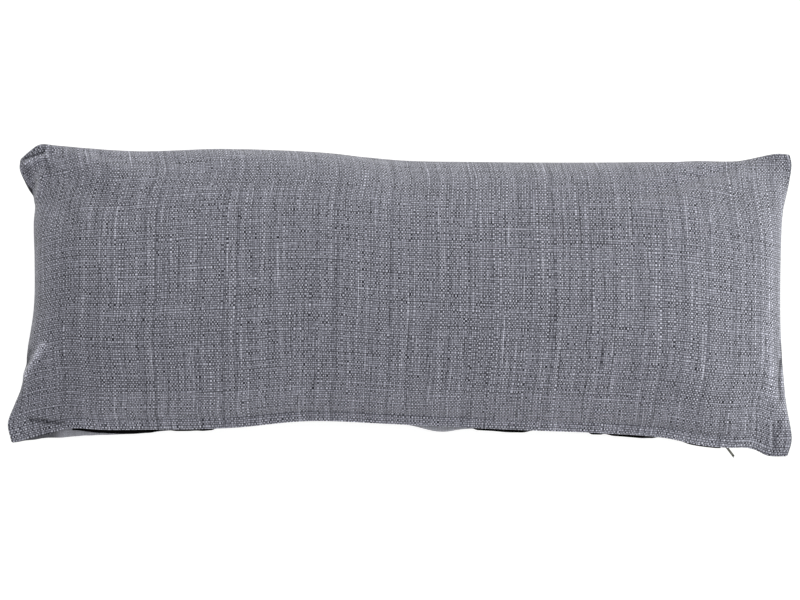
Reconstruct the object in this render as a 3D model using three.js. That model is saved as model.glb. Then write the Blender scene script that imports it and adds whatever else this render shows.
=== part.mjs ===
import * as THREE from 'three';
import { mergeVertices } from 'three/addons/utils/BufferGeometryUtils.js';
import { RoundedBoxGeometry } from 'three/addons/geometries/RoundedBoxGeometry.js';

// A long lumbar cushion lying on its back, in millimetres.
// X runs along its length, Y from the zipped edge to the far edge, and Z up out of its face.

// The filled body
const FRONT_CROWN = 62; // rise of the face above its seam
const BACK_CROWN = 64; // drop of the back below its seam before the surface presses it flat
const PRESS_BLEND = 7; // reach over which the back turns up from the flat on which it lies
const END_FULLNESS = 6; // how far the filling keeps its height toward the two short ends
const SIDE_FULLNESS = 2.4; // how round the filling is from the zipped edge to the far edge
const CROWN_POWER = 0.48; // how steeply both panels leave their seam
const HEM_POWER = 0.8; // the same at the hem of the zipped edge, where they leave it more gently
const HEM_REACH = 0.5; // share of the width over which that gentle start goes over
const EAR_REACH = 58; // reach of the limp corner where the two panels lie together
const SIDE_BULGE = 5; // how far the sides swell out past their seam
const END_BULGE_POWER = 5; // keeps the swelling to the two short ends
const FAR_BULGE_POWER = 3; // keeps the swelling to the far edge

// The sewn edge
const SEAM_HALF = 1.8; // half the thickness of the plain seam
const SEAM_ROLL = 0.9; // how far the plain seam rounds out
const LAP_WIDTH = 11.5; // hem of the face that laps the zip, from its stitching to its edge
const LIP_HALF = 4.6; // half the thickness of the zipped edge: lap, slot and back lip together
const LIP_FADE = 6; // lap widths over which the zipped edge's thickness goes over into the panels
const SLOT_HALF = 1.5; // half the height of the slot between the lap and the back lip
const SLOT_DEPTH = 9;
const ZIP_START = 0.062; // where the zip begins, as a share of the zipped seam
const ZIP_STOP = 0.945;
const ZIP_RUNOUT = 0.009; // share of the seam over which the slot closes

// The zip
const TAPE_LOW = -1.1; // underside of the tape, from the middle of the slot
const TAPE_HIGH = -0.2;
const TAPE_ROOT = 7.6; // from the edge of the lap to the sewn edge of the tape
const COIL_TOP = 0.7;
const COIL_WIDTH = 2.4;
const COIL_INSET = 4.6; // from the edge of the lap to the middle of the coil
const SLIDER_SHARE = 0.919; // where the slider stands, as a share of the zipped seam
const SLIDER_GAP = 0.4; // between the tape and the slider
const SLIDER_LENGTH = 10;
const SLIDER_DEPTH = 5;
const SLIDER_HEIGHT = 2;
const SLIDER_ROUND = 0.6;
const SLIDER_INSET = 6; // from the edge of the lap to the middle of the slider
const PULL_LENGTH = 16;
const PULL_WIDTH = 2.6;
const PULL_THICK = 1.1;
const PULL_SOFTEN = 0.25;
const PULL_INSET = 2.8; // from the edge of the lap to the root of the pull
const PULL_LEAN = 40; // degrees from straight out, toward the right end
const PULL_DROOP = 12; // degrees below level

// How finely the cloth is followed
const COLUMNS = 72;
const ROWS = 26;
const RIM_STEPS = 5;
const SLOT_LEVEL = 0.5; // share of the edge's half thickness within which the slot is cut
const END_CROWDING = 0.75; // 0 spaces the columns evenly, 1 crowds them toward the ends
const MERGE_REACH = 1e-3;
const PULL_END_STEPS = 8;
const SLIDER_EDGE_STEPS = 2;

// The seam along each edge, a row for each bend, with z its height above the surface
const FAR_SEAM = [
  { x: -441, y: 158, z: 55 },
  { x: -431, y: 166, z: 60 },
  { x: -419, y: 175, z: 58 },
  { x: -402, y: 175.5, z: 52 },
  { x: -363, y: 174, z: 46 },
  { x: -305, y: 171, z: 43 },
  { x: -203, y: 177, z: 41 },
  { x: -93, y: 175, z: 41 },
  { x: -2, y: 166, z: 42 },
  { x: 80, y: 166, z: 42 },
  { x: 230, y: 168, z: 42 },
  { x: 334, y: 171, z: 43 },
  { x: 387, y: 172, z: 44 },
  { x: 435, y: 181, z: 48 },
  { x: 449, y: 180, z: 49 },
];
const ZIPPED_SEAM = [
  { x: -438, y: -169, z: 44 },
  { x: -429, y: -167, z: 44 },
  { x: -408, y: -161, z: 46 },
  { x: -378, y: -154, z: 49 },
  { x: -362, y: -153, z: 51 },
  { x: -338, y: -154.4, z: 52 },
  { x: -278, y: -153.3, z: 52 },
  { x: -188, y: -150, z: 53 },
  { x: -102, y: -141, z: 54 },
  { x: 2, y: -143, z: 54 },
  { x: 144, y: -147, z: 53 },
  { x: 236, y: -149, z: 52 },
  { x: 302, y: -153, z: 52 },
  { x: 340, y: -160, z: 51 },
  { x: 373, y: -162.8, z: 50 },
  { x: 402, y: -162.8, z: 49 },
  { x: 420, y: -170, z: 48 },
  { x: 442, y: -170, z: 47 },
];
const LEFT_SEAM = [
  { x: -438, y: -169, z: 44 },
  { x: -443, y: -148, z: 45 },
  { x: -437, y: -128, z: 45 },
  { x: -429, y: -105, z: 45 },
  { x: -423, y: -66, z: 46 },
  { x: -417, y: -18, z: 46 },
  { x: -419, y: 40, z: 45 },
  { x: -423, y: 82, z: 44 },
  { x: -424, y: 113, z: 45 },
  { x: -434, y: 130, z: 48 },
  { x: -442, y: 147, z: 52 },
  { x: -441, y: 158, z: 55 },
];
const RIGHT_SEAM = [
  { x: 442, y: -170, z: 47 },
  { x: 447, y: -152, z: 47 },
  { x: 441, y: -110, z: 48 },
  { x: 435, y: -50, z: 48 },
  { x: 434, y: 8, z: 48 },
  { x: 439, y: 105, z: 48 },
  { x: 447, y: 143, z: 49 },
  { x: 451, y: 169, z: 49 },
  { x: 449, y: 180, z: 49 },
];

// How far the back lip and the tape stand out past the edge of the lap, by share of the zipped seam
const ZIP_EDGE = [
  { share: 0, lip: 0, tape: -3 },
  { share: 0.012, lip: 0.5, tape: -3 },
  { share: 0.035, lip: 3.8, tape: -3 },
  { share: 0.07, lip: 8.6, tape: 0 },
  { share: 0.086, lip: 8.4, tape: 1.9 },
  { share: 0.098, lip: 6.9, tape: 2.6 },
  { share: 0.118, lip: 5, tape: 3.2 },
  { share: 0.155, lip: 3.9, tape: 4.1 },
  { share: 0.18, lip: 2.8, tape: 3 },
  { share: 0.192, lip: 1.1, tape: 1 },
  { share: 0.203, lip: 0.4, tape: 0.4 },
  { share: 0.216, lip: -0.3, tape: 1.5 },
  { share: 0.23, lip: -0.5, tape: 1.5 },
  { share: 0.239, lip: -0.5, tape: 1.2 },
  { share: 0.248, lip: -0.5, tape: 1.7 },
  { share: 0.258, lip: -0.5, tape: 1.2 },
  { share: 0.27, lip: -1, tape: -2.5 },
  { share: 0.505, lip: -1, tape: -2.5 },
  { share: 0.553, lip: 5.5, tape: -1 },
  { share: 0.59, lip: 0.3, tape: -1 },
  { share: 0.6, lip: -0.2, tape: 1.9 },
  { share: 0.615, lip: -0.5, tape: 2 },
  { share: 0.64, lip: -0.5, tape: 2.7 },
  { share: 0.656, lip: -0.8, tape: 2.3 },
  { share: 0.675, lip: -1, tape: -1 },
  { share: 0.74, lip: -1, tape: -1 },
  { share: 0.747, lip: -1, tape: 1.5 },
  { share: 0.757, lip: -1, tape: 1.3 },
  { share: 0.763, lip: -1, tape: 0.2 },
  { share: 0.775, lip: -1, tape: 1.9 },
  { share: 0.81, lip: -1, tape: 2.4 },
  { share: 0.822, lip: -1, tape: 1.5 },
  { share: 0.833, lip: -1, tape: -0.5 },
  { share: 0.86, lip: -1.5, tape: -0.5 },
  { share: 0.875, lip: -1.5, tape: 0.8 },
  { share: 0.905, lip: -1.5, tape: 0.8 },
  { share: 0.93, lip: -1.5, tape: -1 },
  { share: 1, lip: 0, tape: -3 },
];

// Creases and ridges in the face, each along a straight run, with the share that the back panel follows
const FOLDS = [
  { fold: 'trough in the turned ear', x1: -433, y1: 153, x2: -408, y2: 164, reach: 7, rise: -6, shared: 1 },
  { fold: 'ridge under that trough', x1: -428, y1: 141, x2: -402, y2: 150, reach: 7, rise: 3, shared: 0.5 },
  { fold: 'ridge over the left pucker', x1: -403, y1: -61, x2: -427, y2: -98, reach: 7, rise: 3, shared: 0 },
  { fold: 'left pucker', x1: -419, y1: -60, x2: -424, y2: -82, reach: 7, rise: -5, shared: 0 },
  { fold: 'crease at left corner', x1: -417, y1: -144, x2: -385, y2: -146, reach: 6, rise: -4, shared: 0.6 },
  { fold: 'fold in the right side', x1: 433, y1: -68, x2: 435, y2: -103, reach: 6, rise: -4, shared: 0.4 },
  { fold: 'crease at right corner', x1: 427, y1: -132, x2: 427, y2: -164, reach: 6, rise: -4, shared: 0.8 },
];

const CLOTH = new THREE.MeshStandardMaterial({ color: 0x7c7c87, roughness: 0.95, metalness: 0 });
const TAPE = new THREE.MeshStandardMaterial({ color: 0x17171a, roughness: 0.9, metalness: 0 });
const METAL = new THREE.MeshStandardMaterial({ color: 0x56574f, roughness: 0.45, metalness: 0.8 });

const { clamp, degToRad, lerp, mapLinear, smoothstep } = THREE.MathUtils;

function seamCurve(rows) {
  const bends = rows.map((row) => new THREE.Vector3(row.x, row.y, row.z));
  return new THREE.CatmullRomCurve3(bends, false, 'centripetal');
}

const far = seamCurve(FAR_SEAM);
const zipped = seamCurve(ZIPPED_SEAM);
const left = seamCurve(LEFT_SEAM);
const right = seamCurve(RIGHT_SEAM);
const corners = [far.getPoint(0), far.getPoint(1), zipped.getPoint(0), zipped.getPoint(1)];
const stitchLine = LAP_WIDTH / zipped.getPoint(0.5).distanceTo(far.getPoint(0.5));

// The sheet stretched between the four seams.
// across goes from the left end to the right end, and along from the zipped edge to the far edge.
function seamSheet(across, along) {
  const fromLongEdges = zipped.getPointAt(across).lerp(far.getPointAt(across), along);
  const fromShortEdges = left.getPointAt(along).lerp(right.getPointAt(along), across);
  const zippedCorners = zipped.getPoint(0).lerp(zipped.getPoint(1), across);
  const farCorners = far.getPoint(0).lerp(far.getPoint(1), across);
  return fromLongEdges.add(fromShortEdges).sub(zippedCorners.lerp(farCorners, along));
}

// How much of the filling's full height a place has: none at the seams and in the limp corners.
function fullness(across, along, place) {
  const endward = Math.abs(2 * across - 1);
  const sideward = Math.abs(mapLinear(Math.max(along, stitchLine), stitchLine, 1, -1, 1));
  const lengthwise = Math.max(1 - endward ** END_FULLNESS, 0);
  const crosswise = Math.max(1 - sideward ** SIDE_FULLNESS, 0);
  const nearest = Math.min(...corners.map((corner) => Math.hypot(corner.x - place.x, corner.y - place.y)));
  const limp = 1 - Math.exp(-((nearest / EAR_REACH) ** 2));
  const power = lerp(HEM_POWER, CROWN_POWER, smoothstep(along, 0, HEM_REACH));
  return limp * lengthwise ** CROWN_POWER * crosswise ** power;
}

function foldRise(place, side) {
  const here = new THREE.Vector3(place.x, place.y, 0);
  const nearest = new THREE.Vector3();
  return FOLDS.reduce((total, row) => {
    const run = new THREE.Line3(new THREE.Vector3(row.x1, row.y1, 0), new THREE.Vector3(row.x2, row.y2, 0));
    const away = run.closestPointToPoint(here, true, nearest).distanceTo(here) / row.reach;
    const share = side > 0 ? 1 : row.shared;
    return total + share * row.rise * Math.exp(-away * away);
  }, 0);
}

// 1 where the zipped edge is open to its slot, and 0 where it is a plain seam.
function zipShare(across) {
  const opening = smoothstep(across, ZIP_START - ZIP_RUNOUT, ZIP_START + ZIP_RUNOUT);
  const closing = smoothstep(across, ZIP_STOP - ZIP_RUNOUT, ZIP_STOP + ZIP_RUNOUT);
  return opening - closing;
}

// How far the back lip or the tape, whichever is named, stands out past the edge of the lap.
function standsOut(what, across) {
  const next = ZIP_EDGE.findIndex((row) => row.share >= across);
  const to = ZIP_EDGE[next];
  const from = ZIP_EDGE[Math.max(next - 1, 0)];
  return lerp(from[what], to[what], smoothstep(across, from.share, to.share));
}

// The surface presses flat whatever would sink below it, with a soft turn up round the flat.
function pressed(height) {
  const turn = clamp(height, -PRESS_BLEND, PRESS_BLEND) + PRESS_BLEND;
  return Math.max(height, PRESS_BLEND) - PRESS_BLEND + (turn * turn) / (4 * PRESS_BLEND);
}

// A place on the face (side 1) or on the back (side -1).
function panelPoint(across, along, side) {
  const place = seamSheet(across, along);
  const full = fullness(across, along, place);
  const swell = SIDE_BULGE * Math.sin(Math.PI * Math.min(full, 1));
  place.x += swell * (2 * across - 1) ** END_BULGE_POWER;
  place.y += swell * Math.max(2 * along - 1, 0) ** FAR_BULGE_POWER;
  const hemShare = 1 - smoothstep(along, 0, LIP_FADE * stitchLine);
  if (side < 0) {
    place.y -= standsOut('lip', across) * hemShare;
  }
  const half = lerp(SEAM_HALF, LIP_HALF, zipShare(across) * hemShare);
  const crown = side > 0 ? FRONT_CROWN : BACK_CROWN;
  place.z = pressed(place.z + side * (half + crown * full) + foldRise(place, side));
  return place;
}

// A place on the edge between the two panels, with level 1 at the face and -1 at the back.
function edgePoint(across, along, level) {
  const face = panelPoint(across, along, 1);
  const back = panelPoint(across, along, -1);
  const place = back.clone().lerp(face, (level + 1) / 2);
  const roll = SEAM_ROLL * (1 - level * level);
  place.x += roll * Math.trunc(2 * across - 1);
  place.y += roll * Math.trunc(2 * along - 1);
  if (along > 0) {
    return place;
  }
  const lip = level > 0 ? face : back;
  const inSlot = Math.abs(level) < SLOT_LEVEL;
  const wall = place.clone();
  wall.y = inSlot ? face.y + SLOT_DEPTH : lip.y;
  wall.z = (face.z + back.z) / 2 + Math.sign(level) * SLOT_HALF;
  return place.lerp(wall, zipShare(across));
}

// Columns crowd toward the two short ends.
function columnShare(step) {
  const crowded = Math.sin((Math.PI / 2) * step);
  return (1 + lerp(step, crowded, END_CROWDING)) / 2;
}

// The first row is the lap, and the rest crowd toward the stitching and the far seam.
function rowShare(step) {
  const row = Math.round(((step + 1) / 2) * ROWS);
  const turn = mapLinear(row, 1, ROWS, -1, 1);
  return row === 0 ? 0 : lerp(stitchLine, 1, (1 + Math.sin((Math.PI / 2) * turn)) / 2);
}

function closedSkin(geometry) {
  geometry.deleteAttribute('normal');
  geometry.deleteAttribute('uv');
  const skin = mergeVertices(geometry, MERGE_REACH);
  skin.computeVertexNormals();
  return skin;
}

// Moves every corner of a fine block to the place that placeOf gives for it.
function shapedBlock(block, placeOf) {
  const spots = block.attributes.position;
  const spot = new THREE.Vector3();
  for (let i = 0; i < spots.count; i += 1) {
    const place = placeOf(spot.fromBufferAttribute(spots, i));
    spots.setXYZ(i, place.x, place.y, place.z);
  }
  return closedSkin(block);
}

function cushionSkin() {
  const block = new THREE.BoxGeometry(2, 2, 2, COLUMNS, ROWS, RIM_STEPS);
  return shapedBlock(block, (spot) => {
    const across = columnShare(spot.x);
    const along = rowShare(spot.y);
    const onPanel = Math.abs(spot.z) === 1;
    return onPanel ? panelPoint(across, along, spot.z) : edgePoint(across, along, spot.z);
  });
}

// The edge of the lap, at the height of the slot's middle.
function lapEdge(across) {
  const edge = panelPoint(across, 0, 1);
  edge.z = (edge.z + panelPoint(across, 0, -1).z) / 2;
  return edge;
}

// The shares of the zipped seam at which the tape is laid: its ends and the cushion's columns between.
function tapeShares() {
  const first = ZIP_START + 2 * ZIP_RUNOUT;
  const last = SLIDER_SHARE - (SLIDER_LENGTH / 2 + SLIDER_GAP) / zipped.getLength();
  const steps = Array.from({ length: COLUMNS }, (_, column) => mapLinear(column, 0, COLUMNS, -1, 1));
  const between = steps.map(columnShare).filter((share) => share > first && share < last);
  return [first, ...between, last];
}

// The tape's section from its sewn edge to its free edge, with the coil raised along it.
function tapeSection(across) {
  return [
    { inset: TAPE_ROOT, top: TAPE_HIGH },
    { inset: COIL_INSET + COIL_WIDTH / 2, top: TAPE_HIGH },
    { inset: COIL_INSET + COIL_WIDTH / 4, top: COIL_TOP },
    { inset: COIL_INSET - COIL_WIDTH / 4, top: COIL_TOP },
    { inset: COIL_INSET - COIL_WIDTH / 2, top: TAPE_HIGH },
    { inset: -standsOut('tape', across), top: TAPE_HIGH },
  ];
}

function tapeSkin() {
  const shares = tapeShares();
  const stations = shares.length - 1;
  const strips = tapeSection(0).length - 1;
  const ribbon = new THREE.BoxGeometry(2, 2, 2, strips, 1, stations);
  return shapedBlock(ribbon, (spot) => {
    const across = shares[Math.round(mapLinear(spot.z, 1, -1, 0, stations))];
    const row = tapeSection(across)[Math.round(mapLinear(spot.x, -1, 1, 0, strips))];
    const place = lapEdge(across);
    place.y += row.inset;
    place.z += spot.y > 0 ? row.top : TAPE_LOW;
    return place;
  });
}

function sliderSkin() {
  const size = [SLIDER_LENGTH, SLIDER_DEPTH, SLIDER_HEIGHT];
  return closedSkin(new RoundedBoxGeometry(...size, SLIDER_EDGE_STEPS, SLIDER_ROUND));
}

// A narrow tab with round ends, its root at the origin and its length along -Y.
function pullSkin() {
  const half = PULL_WIDTH / 2;
  const outline = new THREE.Shape();
  outline.absarc(0, half - PULL_LENGTH, half - PULL_SOFTEN, Math.PI, 2 * Math.PI, false);
  outline.absarc(0, -half, half - PULL_SOFTEN, 0, Math.PI, false);
  const tab = new THREE.ExtrudeGeometry(outline, {
    depth: PULL_THICK - 2 * PULL_SOFTEN,
    bevelThickness: PULL_SOFTEN,
    bevelSize: PULL_SOFTEN,
    bevelSegments: 1,
    curveSegments: PULL_END_STEPS,
  });
  tab.translate(0, 0, PULL_SOFTEN - PULL_THICK / 2);
  return closedSkin(tab);
}

const laid = new THREE.Group();

function addPiece(name, skin, material) {
  const piece = new THREE.Mesh(skin, material);
  piece.name = name;
  laid.add(piece);
  return piece;
}

addPiece('cushion', cushionSkin(), CLOTH);
addPiece('zip_tape', tapeSkin(), TAPE);

const slider = addPiece('zip_slider', sliderSkin(), METAL);
slider.position.copy(lapEdge(SLIDER_SHARE));
slider.position.y += SLIDER_INSET;

const pull = addPiece('zip_pull', pullSkin(), METAL);
pull.position.copy(lapEdge(SLIDER_SHARE));
pull.position.y += PULL_INSET;
pull.rotation.set(degToRad(PULL_DROOP), 0, degToRad(PULL_LEAN), 'ZXY');

// The middle of the whole part's length and width stands over the origin.
const middle = new THREE.Box3().setFromObject(laid, true).getCenter(new THREE.Vector3());
laid.position.set(-middle.x, -middle.y, 0);

const object = new THREE.Group();
object.name = 'lumbar_cushion';
object.add(laid);

export default object;
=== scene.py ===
# %% [markdown]
# # A long lumbar cushion
#
# The real cushion is a cover sewn from two panels of coarse grey slub cloth, turned right side out and filled until its
# face stands up in a crown and its sides draw in between limp corners. A hem along one long edge laps a dark zip, whose
# pull hangs out near the right end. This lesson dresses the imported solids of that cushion: the solids stay the measure
# of every size, and each cell below adds one piece or one finish on top of them.

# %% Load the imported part
import math

import bmesh
import bpy
import numpy as np
from mathutils import Matrix, Vector


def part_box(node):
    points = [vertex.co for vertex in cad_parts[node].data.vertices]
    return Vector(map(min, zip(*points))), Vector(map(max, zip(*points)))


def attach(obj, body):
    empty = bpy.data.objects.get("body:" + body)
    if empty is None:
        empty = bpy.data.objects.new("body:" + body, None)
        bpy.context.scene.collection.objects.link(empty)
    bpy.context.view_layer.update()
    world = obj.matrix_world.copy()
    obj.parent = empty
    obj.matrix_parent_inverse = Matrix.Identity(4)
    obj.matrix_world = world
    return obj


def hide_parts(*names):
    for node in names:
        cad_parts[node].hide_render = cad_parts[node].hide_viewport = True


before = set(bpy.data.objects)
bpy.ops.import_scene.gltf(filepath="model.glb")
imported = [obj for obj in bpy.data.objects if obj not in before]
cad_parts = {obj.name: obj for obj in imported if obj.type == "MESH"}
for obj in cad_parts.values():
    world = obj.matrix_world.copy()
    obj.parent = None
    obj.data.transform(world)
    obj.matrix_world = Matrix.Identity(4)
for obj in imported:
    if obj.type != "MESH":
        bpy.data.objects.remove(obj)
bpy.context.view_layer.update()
MM = 0.001


# %% Helpers for the whole lesson
def placed(name, data):
    """An object that shows its data in the scene."""
    made = bpy.data.objects.new(name, data)
    bpy.context.scene.collection.objects.link(made)
    return made


def numbers(items, name, width=1):
    """One property of all items, as an array with a row for each of them."""
    values = np.empty(len(items) * width, np.float32)
    items.foreach_get(name, values)
    return values.reshape(-1, width) if width > 1 else values


def distances(points):
    """How far along a line each of its points lies."""
    return np.concatenate([[0], np.cumsum(np.linalg.norm(np.diff(points, axis=0), axis=1))])


def fresh_material(name):
    """A new material, its tree of nodes and its shader."""
    material = bpy.data.materials.new(name)
    material.use_nodes = True
    return material, material.node_tree, material.node_tree.nodes["Principled BSDF"]


def add_sockets(tree, way, kind, *names):
    """Inputs or outputs of one kind for a node group."""
    for name in names:
        tree.interface.new_socket(name, in_out=way, socket_type="NodeSocket" + kind)


# %% [markdown]
# ## The stage
#
# A cushion for sale is shot from almost straight above, on a bright table, under broad soft light. The table here
# glows, as a light table does, so that it stays pale right up to the cushion without a lamp of its own. An even sky and
# a wide lamp overhead light the face, and three large low lamps add the rest: the strongest stands to the right and one
# beyond the far edge, because those are the sides where the cloth in the photograph is brightest. A long lens from far
# away keeps the two long edges parallel.

# %% Camera
LENS_MM = 100
SENSOR_MM = 36
TILT = math.radians(10)  # from straight above, toward the zipped edge
ROLL = math.radians(0.96)
CAMERA_DISTANCE = 2.551
CAMERA_AIM = Vector((-0.0040, -0.0029, 0.048))

camera_data = bpy.data.cameras.new("camera")
camera_data.lens = LENS_MM
camera_data.sensor_width = SENSOR_MM
camera = placed("camera", camera_data)
turned = Matrix.Rotation(TILT, 3, "X") @ Matrix.Rotation(ROLL, 3, "Z")
camera.rotation_euler = turned.to_euler()
camera.location = CAMERA_AIM + CAMERA_DISTANCE * (turned @ Vector((0, 0, 1)))
bpy.context.scene.camera = camera
print("camera stands at", [round(c, 3) for c in camera.location])

# %% Table, lamps and sky
TABLE_SIDE, TABLE_GREY, TABLE_ROUGHNESS, TABLE_GLOW = 12, 0.3, 0.9, 0.85
SKY_STRENGTH = 0.45
LAMP_TINT = (0.975, 1.0, 0.94)
LAMPS = [  # name, place (m), aim (m), side (m), power (W)
    ("lamp overhead", (0.1, 0.1, 3.0), (0, 0, 0.05), 2.2, 21.5),
    ("right lamp", (2.0, -0.1, 0.55), (0.2, 0, 0.05), 0.9, 36),
    ("far lamp", (-0.5, 2.0, 0.9), (-0.1, 0, 0.05), 1.2, 22),
    ("near lamp", (-0.4, -2.0, 0.9), (0, 0, 0.05), 1.2, 4),
]

bpy.context.scene.view_settings.view_transform = "Standard"

table_mesh = bpy.data.meshes.new("table")
half = TABLE_SIDE / 2
table_corners = [(-half, -half, 0), (half, -half, 0), (half, half, 0), (-half, half, 0)]
table_mesh.from_pydata(table_corners, [], [(0, 1, 2, 3)])
table = placed("table", table_mesh)
table_paint, _, table_shader = fresh_material("pale table")
table_shader.inputs["Base Color"].default_value = (TABLE_GREY, TABLE_GREY, TABLE_GREY, 1)
table_shader.inputs["Roughness"].default_value = TABLE_ROUGHNESS
table_shader.inputs["Emission Color"].default_value = (1, 1, 1, 1)
table_shader.inputs["Emission Strength"].default_value = TABLE_GLOW
table_mesh.materials.append(table_paint)

for name, place, aim, side, power in LAMPS:
    lamp_data = bpy.data.lights.new(name, "AREA")
    lamp_data.size = side
    lamp_data.energy = power
    lamp_data.color = LAMP_TINT
    lamp = placed(name, lamp_data)
    beam = Vector(aim) - Vector(place)
    lamp.location = place
    lamp.rotation_euler = beam.to_track_quat("-Z", "Y").to_euler()
    print(name, "is", round(beam.length, 2), "m away")

sky = bpy.data.worlds.new("even sky")
sky.use_nodes = True
sky.node_tree.nodes["Background"].inputs["Color"].default_value = (1, 1, 1, 1)
sky.node_tree.nodes["Background"].inputs["Strength"].default_value = SKY_STRENGTH
bpy.context.scene.world = sky

# %% [markdown]
# ## The four seams
#
# A sewn cushion is ruled by its seams: the filling can push cloth out between them, but it can't lengthen them. So the
# shape starts from the line of each seam, written as a short table of bends, the same ones that the solid follows. A
# curve through the bends could be a Blender curve object. Here it is worked out with numpy, because every later cell
# asks for a point at a given share of a seam's length, which is one call this way.

# %% Bends of the seams, in millimetres: x along the cushion, y toward the far edge, z above the table
SEAM_BENDS = {
    "far": [
        (-441, 158, 55), (-431, 166, 60), (-419, 175, 58), (-402, 175.5, 52), (-363, 174, 46), (-305, 171, 43),
        (-203, 177, 41), (-93, 175, 41), (-2, 166, 42), (80, 166, 42), (230, 168, 42), (334, 171, 43),
        (387, 172, 44), (435, 181, 48), (449, 180, 49),
    ],
    "zipped": [
        (-438, -169, 44), (-429, -167, 44), (-408, -161, 46), (-378, -154, 49), (-362, -153, 51), (-338, -154.4, 52),
        (-278, -153.3, 52), (-188, -150, 53), (-102, -141, 54), (2, -143, 54), (144, -147, 53), (236, -149, 52),
        (302, -153, 52), (340, -160, 51), (373, -162.8, 50), (402, -162.8, 49), (420, -170, 48), (442, -170, 47),
    ],
    "left": [
        (-438, -169, 44), (-443, -148, 45), (-437, -128, 45), (-429, -105, 45), (-423, -66, 46), (-417, -18, 46),
        (-419, 40, 45), (-423, 82, 44), (-424, 113, 45), (-434, 130, 48), (-442, 147, 52), (-441, 158, 55),
    ],
    "right": [
        (442, -170, 47), (447, -152, 47), (441, -110, 48), (435, -50, 48), (434, 8, 48), (439, 105, 48),
        (447, 143, 49), (451, 169, 49), (449, 180, 49),
    ],
}
STEPS_BETWEEN_BENDS = 60


def seam_line(bends):
    """A smooth line through the bends: the share of its length at each of its points, and the points."""
    bends = np.array(bends, float) * MM
    held = np.vstack([2 * bends[0] - bends[1], bends, 2 * bends[-1] - bends[-2]])
    step = np.linspace(0, 1, STEPS_BETWEEN_BENDS, endpoint=False)[:, None]
    runs = []
    for a, b, c, d in zip(held, held[1:], held[2:], held[3:]):
        before, here, after = (np.linalg.norm(q - p) ** 0.5 for p, q in ((a, b), (b, c), (c, d)))
        leave = here * ((b - a) / before - (c - a) / (before + here) + (c - b) / here)
        arrive = here * ((c - b) / here - (d - b) / (here + after) + (d - c) / after)
        cubic = 2 * (b - c) + leave + arrive
        square = 3 * (c - b) - 2 * leave - arrive
        runs.append(b + leave * step + square * step**2 + cubic * step**3)
    points = np.vstack([*runs, bends[-1:]])
    length = distances(points)
    print("  seam of", round(length[-1] / MM), "mm")
    return length / length[-1], points


seams = {name: seam_line(bends) for name, bends in SEAM_BENDS.items()}


def seam_at(name, share):
    shares, points = seams[name]
    return np.stack([np.interp(share, shares, points[:, axis]) for axis in range(3)], axis=-1)


# %% [markdown]
# ## From the seams to a filled shape
#
# Cloth that spans four seams with nothing behind it would lie as a flat skin, a Coons patch. Filling lifts that skin:
# nearly to its full height over the middle, steeply beside the seams, and hardly at all in the corners, where the two
# panels lie together as limp ears. The zipped edge is thicker than a plain seam, because the hem is folded there and
# laps the zip. These rules are the solid's own, so the dressed cushion keeps its outline.

# %% Sizes of the filling and of the sewn edge
FRONT_CROWN = 62 * MM
BACK_CROWN = 64 * MM
PRESS_BLEND = 7 * MM
END_FULLNESS, SIDE_FULLNESS, CROWN_POWER = 6, 2.4, 0.48
HEM_POWER, HEM_REACH = 0.8, 0.5
EAR_REACH = 58 * MM
SIDE_BULGE, END_BULGE_POWER, FAR_BULGE_POWER = 5 * MM, 5, 3
SEAM_HALF, SEAM_ROLL, ROLL_POWER, SEAM_GROOVE = 1.8 * MM, 0.9 * MM, 4, 0.7 * MM
LAP_WIDTH, LIP_HALF, LIP_FADE = 11.5 * MM, 4.6 * MM, 6
SLOT_HALF, SLOT_DEPTH, SLOT_LEVEL = 1.5 * MM, 9 * MM, 0.5
ZIP_START, ZIP_STOP, ZIP_RUNOUT = 0.062, 0.945, 0.009

# How far the back lip and the tape stand out past the edge of the lap, in millimetres, by share of the zipped seam
ZIP_EDGE = [
    (0, 0, -3), (0.012, 0.5, -3), (0.035, 3.8, -3), (0.07, 8.6, 0), (0.086, 8.4, 1.9), (0.098, 6.9, 2.6),
    (0.118, 5, 3.2), (0.155, 3.9, 4.1), (0.18, 2.8, 3), (0.192, 1.1, 1), (0.203, 0.4, 0.4),
    (0.216, -0.3, 1.5), (0.23, -0.5, 1.5), (0.239, -0.5, 1.2), (0.248, -0.5, 1.7), (0.258, -0.5, 1.2),
    (0.27, -1, -2.5), (0.505, -1, -2.5), (0.553, 5.5, -1), (0.59, 0.3, -1), (0.6, -0.2, 1.9),
    (0.615, -0.5, 2), (0.64, -0.5, 2.7), (0.656, -0.8, 2.3), (0.675, -1, -1), (0.74, -1, -1),
    (0.747, -1, 1.5), (0.757, -1, 1.3), (0.763, -1, 0.2), (0.775, -1, 1.9), (0.81, -1, 2.4),
    (0.822, -1, 1.5), (0.833, -1, -0.5), (0.86, -1.5, -0.5), (0.875, -1.5, 0.8), (0.905, -1.5, 0.8),
    (0.93, -1.5, -1), (1, 0, -3),
]
zip_edge_share, zip_edge_lip, zip_edge_tape = np.array(ZIP_EDGE).T
corners = np.array([seam_at(name, end)[:2] for name in ("far", "zipped") for end in (0, 1)])
stitch_line = LAP_WIDTH / np.linalg.norm(seam_at("far", 0.5) - seam_at("zipped", 0.5))


def eased(value, low, high):
    step = np.clip((value - low) / (high - low), 0, 1)
    return step * step * (3 - 2 * step)


def zip_share(across):
    """1 where the zipped edge is open to its slot, and 0 where it is a plain seam."""
    opening = eased(across, ZIP_START - ZIP_RUNOUT, ZIP_START + ZIP_RUNOUT)
    return opening - eased(across, ZIP_STOP - ZIP_RUNOUT, ZIP_STOP + ZIP_RUNOUT)


def stands_out(column, across):
    after = np.clip(np.searchsorted(zip_edge_share, across), 1, len(zip_edge_share) - 1)
    step = eased(across, zip_edge_share[after - 1], zip_edge_share[after])
    return MM * (column[after - 1] * (1 - step) + column[after] * step)


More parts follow.
